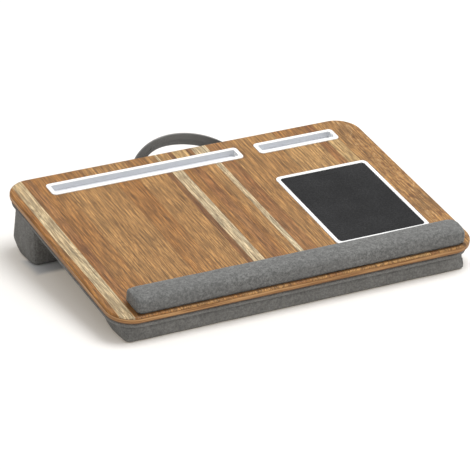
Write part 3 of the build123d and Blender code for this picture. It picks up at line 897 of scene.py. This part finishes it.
# %% The stitch tree
stitch_tree, given, result = new_geometry_tree("stitch_row", {
    "Pitch": 3.2 * mm, "Length": 2.3 * mm, "Thickness": 0.55 * mm})
row = add(stitch_tree, "GeometryNodeMeshToCurve", {0: given["Geometry"]}).outputs[0]
spots = add(stitch_tree, "GeometryNodeCurveToPoints", {"Curve": row, "Length": given["Pitch"]},
            mode="LENGTH").outputs
bead = add(stitch_tree, "GeometryNodeMeshUVSphere", {"Segments": 6, "Rings": 4, "Radius": 0.5})
turned = add(stitch_tree, "FunctionNodeAlignRotationToVector", {"Vector": spots["Tangent"]},
             axis="Z")
sewn = add(stitch_tree, "GeometryNodeInstanceOnPoints", {
    "Points": spots["Points"],
    "Instance": bead.outputs["Mesh"],
    "Rotation": turned.outputs[0],
    "Scale": joined(stitch_tree, given["Thickness"], given["Thickness"], given["Length"]),
})
end_with(stitch_tree, sewn.outputs[0], thread_grey, result[0])
print("stitch tree:", len(stitch_tree.nodes), "nodes")

# %% [markdown]
# The second tree sweeps a flat section with rounded corners along a path. It also notes on each
# point how far round the section and how far along the path it lies, for a weave that follows.

# %% The band tree
band_tree, given, result = new_geometry_tree("swept_band", {
    "Width": 25 * mm, "Thickness": 2.5 * mm, "Roundness": 1.0 * mm, "Finish": None})
line = add(band_tree, "GeometryNodeMeshToCurve", {0: given["Geometry"]}).outputs[0]
upright = add(band_tree, "GeometryNodeSetCurveNormal", {"Curve": line}, mode="Z_UP").outputs[0]
section = add(band_tree, "GeometryNodeCurvePrimitiveQuadrilateral", {
    "Width": given["Thickness"], "Height": given["Width"]}).outputs[0]
rounded = add(band_tree, "GeometryNodeFilletCurve", {
    "Curve": section, "Radius": given["Roundness"], "Count": 4}, mode="POLY").outputs[0]
even = add(band_tree, "GeometryNodeSubdivideCurve", {0: rounded, "Cuts": 1}).outputs[0]
kept = []
for curve in (upright, even):
    length = add(band_tree, "GeometryNodeSplineParameter").outputs["Length"]
    keeper = add(band_tree, "GeometryNodeCaptureAttribute", domain="POINT")
    keeper.capture_items.new("FLOAT", "length")
    fill(band_tree, keeper, {"Geometry": curve, "length": length})
    kept.append(keeper.outputs)
swept = add(band_tree, "GeometryNodeCurveToMesh", {
    "Curve": kept[0]["Geometry"], "Profile Curve": kept[1]["Geometry"], "Fill Caps": True})
noted = add(band_tree, "GeometryNodeStoreNamedAttribute", {
    "Geometry": swept.outputs[0],
    "Name": "band_place",
    "Value": joined(band_tree, kept[1]["length"], kept[0]["length"]),
}, data_type="FLOAT_VECTOR", domain="POINT")
end_with(band_tree, noted.outputs[0], given["Finish"], result[0])
print("band tree:", len(band_tree.nodes), "nodes")

# %% [markdown]
# Each front corner of a bolster has a seam: a thin welt from the hem down to the sole. Its path is
# found on the finished cover, as the outermost point in the corner's own direction at each level.

# %% Corner seams
seam_step, seam_top_gap, seam_foot_gap, corner_span = 5 * mm, 3 * mm, 4 * mm, 45 * mm


def corner_path(node, side):
    """Points down a front corner of a cover: side -1 for the left one, 1 for the right one."""
    points = corners(covers[node].data)
    outward = np.array([side, -1, 0.0]) / 2 ** 0.5
    near = points[:, 0] * side > (points[:, 0] * side).max() - corner_span
    levels = to_board(points)[:, 2]
    path = []
    for level in np.arange(levels.max() - seam_top_gap, levels.min(), -seam_step):
        band = near & (np.abs(levels - level) < seam_step * 0.6)
        if band.any() and points[band][:, 2].max() > seam_foot_gap:
            path.append(points[band][np.argmax(points[band] @ outward)])
    return np.array([np.mean(path[max(i - 1, 0):i + 2], axis=0) for i in range(len(path))])


for node, welt_size in (("front_bolster", 1.8 * mm), ("rear_bolster", 1.3 * mm)):
    for side, word in ((-1, "left"), (1, "right")):
        name = f"{node}_seam_{word}"
        welt_mesh = grow(name, corner_path(node, side), band_tree, Width=welt_size,
                         Thickness=welt_size, Roundness=0.45 * welt_size, Finish=cushion_cloth)
        welt = place_piece(name, welt_mesh, cushion_cloth)
        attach(welt, "tray")
        print(name, "corners:", len(welt_mesh.vertices))

# %% [markdown]
# The hem is the folded edge of the cushion's cover, stuffed by its own layers. It runs round the
# whole tray right under the wood, so it is a soft band swept along a rounded rectangle, and a row
# of stitches runs along it. Both are laid out level, in board coordinates, and then tilted. Behind,
# where the carrying strap swings past, the hem is pressed in to leave it room.

# %% Helpers for the hem
hem_low, hem_high = board_box("cushion_hem")
hem_radius, hem_depth, hem_roundness, hem_swell = 35 * mm, 8.4 * mm, 2.9 * mm, 3.6 * mm
fold_height, fold_wave = 0.25 * mm, 14 * mm
strap_room, strap_room_fade = 5 * mm, 15 * mm


def rounded_outline(low, high, radius, w, step=4 * mm):
    """Points round a rectangle with rounded corners, in board coordinates, rear middle first."""
    turns = max(4, ceil(radius * pi / 2 / step))
    centres = [(low[0] + radius, high[1] - radius, 90), (low[0] + radius, low[1] + radius, 180),
               (high[0] - radius, low[1] + radius, 270), (high[0] - radius, high[1] - radius, 0)]
    marks = [((low[0] + high[0]) / 2, high[1])]
    for cx, cv, start in centres:
        angles = [radians(start + 90 * i / turns) for i in range(turns + 1)]
        marks += [(cx + radius * cos(a), cv + radius * sin(a)) for a in angles]
    points = []
    for here, there in zip(marks, marks[1:] + marks[:1]):
        dx, dv = there[0] - here[0], there[1] - here[1]
        hops = max(1, ceil(np.hypot(dx, dv) / step))
        points += [(here[0] + dx * i / hops, here[1] + dv * i / hops, w) for i in range(hops)]
    return points


def tilted(mesh):
    """A mesh made in board coordinates, put in its place under the board."""
    set_corners(mesh, from_board(corners(mesh)))
    return mesh


def cleared_for_strap(level):
    """Board coordinates pressed in at the rear, where the strap swings past."""
    level = np.array(level, float)
    low, high = board_box("handle_strap")
    beside = np.abs(level[:, 0] - (low[0] + high[0]) / 2) - (high[0] - low[0]) / 2
    room = np.clip((beside - strap_room) / strap_room_fade, 0, 1) * hem_swell
    level[:, 1] = np.minimum(level[:, 1], hem_high[1] + room)
    return level


print("hem runs from w", round(hem_low[2], 4), "to", round(hem_high[2], 4))

# %% Hem and its stitches
half_depth = hem_depth / 2
hem_path = rounded_outline(hem_low + half_depth - hem_swell, hem_high - half_depth + hem_swell,
                           hem_radius - half_depth + hem_swell, (hem_high[2] + hem_low[2]) / 2)
hem_mesh = tilted(grow("cushion_hem_band", hem_path, band_tree, closed=True,
                       Width=hem_high[2] - hem_low[2] - 0.2 * mm, Thickness=hem_depth,
                       Roundness=hem_roundness, Finish=cushion_cloth))
points = corners(hem_mesh)
points += normals_of(hem_mesh) * (fold_height * rough_noise(points, fold_wave, 8.0))[:, None]
level = cleared_for_strap(to_board(points))
level[:, 2] = np.minimum(level[:, 2], hem_high[2])
set_corners(hem_mesh, from_board(level))
hem_band = place_piece("cushion_hem_band", hem_mesh, cushion_cloth)
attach(hem_band, "tray")
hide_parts("cushion_hem")

stitch_w, stitch_out = hem_low[2] + 1.6 * mm, hem_swell - 0.5 * mm
stitch_path = cleared_for_strap(rounded_outline(hem_low - stitch_out, hem_high + stitch_out,
                                                hem_radius + stitch_out, stitch_w))
stitch_mesh = tilted(grow("hem_stitches", stitch_path, stitch_tree, closed=True,
                          Pitch=3.4 * mm, Length=2.4 * mm, Thickness=0.5 * mm))
hem_stitches = place_piece("hem_stitches", stitch_mesh, thread_grey)
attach(hem_stitches, "tray")
print("hem corners:", len(hem_mesh.vertices), "stitch corners:", len(stitch_mesh.vertices))

# %% [markdown]
# Between the bolsters the cover is a quilted web, pulled up against the board's underside. It is a
# thin pad with slack folds that cross it from bolster to bolster.

# %% Web between the bolsters
web_square, web_edge, web_sag = 3.4 * mm, 30 * mm, 1.6 * mm
web_fold_height, web_fold_wave = 1.1 * mm, 26 * mm
web_mesh = remeshed("cushion_web", web_square)
level = to_board(corners(web_mesh))
web_low, web_high = board_box("cushion_web")
edge_gap = np.minimum(level - web_low, web_high - level)[:, :2].min(1)
inside = np.clip(edge_gap / web_edge, 0, 1)
folds = rough_noise(level * np.array([1, 0.25, 0]), web_fold_wave, 4.0)
under = level[:, 2] < (web_low[2] + web_high[2]) / 2
level[under, 2] -= (inside * (web_sag + web_fold_height * folds))[under]
set_corners(web_mesh, from_board(level))
web_pad = place_piece("cushion_web_pad", web_mesh, cushion_cloth)
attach(web_pad, "tray")
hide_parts("cushion_web")
print("web corners:", len(web_mesh.vertices))

# %% [markdown]
# The carrying strap is one band of webbing, bent to an arch that stands off the rear edge. Its
# middle is a little paler: a painted highlight, where the arch's top catches the light. The band is
# swept along the arch with Geometry Nodes, which also note how far along and across each point
# lies, so the weave follows the bend.

# %% Carrying strap
strap_low, strap_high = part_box("handle_strap")
hinge = Vector(frame["joints"][0]["pos_m"])
strap_rise = radians(30)
strap_width, strap_thickness, foot = 25 * mm, 2.5 * mm, -11 * mm
strap_middle_x = (strap_low.x + strap_high.x) / 2
half_span = (strap_high.x - strap_low.x) / 2 - strap_thickness / 2
strap_reach = ((strap_high.y - hinge.y - strap_width / 2 * sin(strap_rise)) / cos(strap_rise)
               - strap_thickness / 2)
arch_radius = (half_span ** 2 + strap_reach ** 2) / (2 * strap_reach)
arch_centre = strap_reach - arch_radius
half_angle = atan2(half_span, arch_radius - strap_reach)
arch = [(-half_span, foot), (-half_span, foot / 2), (-half_span, 0)]
arch += [(arch_radius * sin(a), arch_radius * cos(a) - arch_radius + strap_reach)
         for a in np.linspace(-half_angle, half_angle, 50)[1:-1]]
arch += [(half_span, 0), (half_span, foot / 2), (half_span, foot)]
for cut in range(2):  # each round cuts the path's corners off, a quarter of the way along its steps
    cuts = [arch[0]]
    for (ax, ay), (bx, by) in zip(arch, arch[1:]):
        cuts += [(0.75 * ax + 0.25 * bx, 0.75 * ay + 0.25 * by),
                 (0.25 * ax + 0.75 * bx, 0.25 * ay + 0.75 * by)]
    arch = cuts + [arch[-1]]
band_mesh = grow("handle_webbing", [(x, y, 0) for x, y in arch], band_tree, Width=strap_width,
                 Thickness=strap_thickness, Roundness=1.0 * mm, Finish=webbing)
points = corners(band_mesh)
flank = np.clip(np.abs(points[:, 2]), 0, strap_width / 2)
foot_round = np.sqrt(np.maximum((strap_width / 2) ** 2 - flank ** 2, 0))
points[:, 1] = np.maximum(points[:, 1], -foot_round)
print("arch of", round(2 * half_span, 3), "m span and", round(strap_reach, 3), "m reach")

# %% [markdown]
# A strap that is bent so tightly doesn't stand quite square. On its left flank the lower edge is
# drawn in toward the arch's middle, and on its right flank it stands a little outwards. So each
# point is turned about the strap's upper edge, and not at all at the arch's top and at its feet.

# %% Lean of the strap on its flanks
left_lean, right_lean, flank_power = radians(18), radians(-4), 2.2
angle = np.arctan2(points[:, 0], points[:, 1] - arch_centre)
flank_share = np.clip(np.abs(angle) / half_angle, 0, 1)
lean = (np.where(points[:, 0] < 0, left_lean, right_lean)
        * np.sin(pi * flank_share ** flank_power) * (points[:, 1] > 0))
off_line = np.hypot(points[:, 0], points[:, 1] - arch_centre) - arch_radius
below_edge = points[:, 2] - strap_width / 2
leant = arch_radius + off_line * np.cos(lean) + below_edge * np.sin(lean)
moved = lean != 0
points[moved, 0] = (leant * np.sin(angle))[moved]
points[moved, 1] = (arch_centre + leant * np.cos(angle))[moved]
points[moved, 2] = (strap_width / 2 + below_edge * np.cos(lean) - off_line * np.sin(lean))[moved]


def from_arch(points):
    """Rows of arch coordinates (across, out, off) as x, y, z."""
    x, out, off = np.asarray(points, float).T
    return np.stack([x + strap_middle_x, hinge.y + out * cos(strap_rise) - off * sin(strap_rise),
                     hinge.z + out * sin(strap_rise) + off * cos(strap_rise)], 1)


set_corners(band_mesh, from_arch(points))
strap_band = place_piece("handle_webbing", band_mesh, webbing)
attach(strap_band, "handle")
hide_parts("handle_strap")
print("strap corners:", len(band_mesh.vertices))

# %% [markdown]
# Each end of the strap sits in a sewn tab on the cushion's back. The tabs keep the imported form,
# softened by a fine remesh, and a box with a cross is stitched through each patch.

# %% Strap tabs
tab_square, patch_inset, patch_height = 0.8 * mm, 4 * mm, 15.5 * mm


def along_lines(marks, step=1.0 * mm):
    """Points set closely along straight lines between marks."""
    points = []
    for here, there in zip(marks, marks[1:]):
        hops = max(1, ceil((Vector(there) - Vector(here)).length / step))
        points += [tuple(Vector(here).lerp(Vector(there), i / hops)) for i in range(hops)]
    return points + [marks[-1]]


def make_tab(node):
    """A sewn tab and its stitches."""
    low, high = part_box(node)
    mesh = with_modifier(remeshed(node, tab_square), node, "SMOOTH", factor=0.6, iterations=4)
    points = corners(mesh)
    places = np.stack([points[:, 0], points[:, 2] - high.z, points[:, 1]], 1)
    band_places = mesh.attributes.new("band_place", "FLOAT_VECTOR", "POINT")
    band_places.data.foreach_set("vector", places.astype(np.float32).ravel())
    tab = place_piece(node + "_webbing", mesh, webbing)
    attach(tab, "tray")
    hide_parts(node)
    patch_face_y = low.y + strap_thickness + 0.05 * mm
    left, right = low.x + patch_inset, high.x - patch_inset
    bottom, top = low.z + patch_inset, low.z + patch_height
    marks = [(left, bottom), (right, bottom), (right, top), (left, top), (left, bottom),
             (right, top), (right, top), (left, top), (right, bottom)]
    path = along_lines([(x, patch_face_y, z) for x, z in marks])
    stitches = grow(node + "_stitches", path, stitch_tree, Pitch=2.4 * mm, Length=1.9 * mm,
                    Thickness=0.5 * mm)
    sewn = place_piece(node + "_stitches", stitches, thread_grey)
    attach(sewn, "tray")
    print(node, "corners:", len(mesh.vertices))


for name in ("strap_tab_left", "strap_tab_right"):
    make_tab(name)
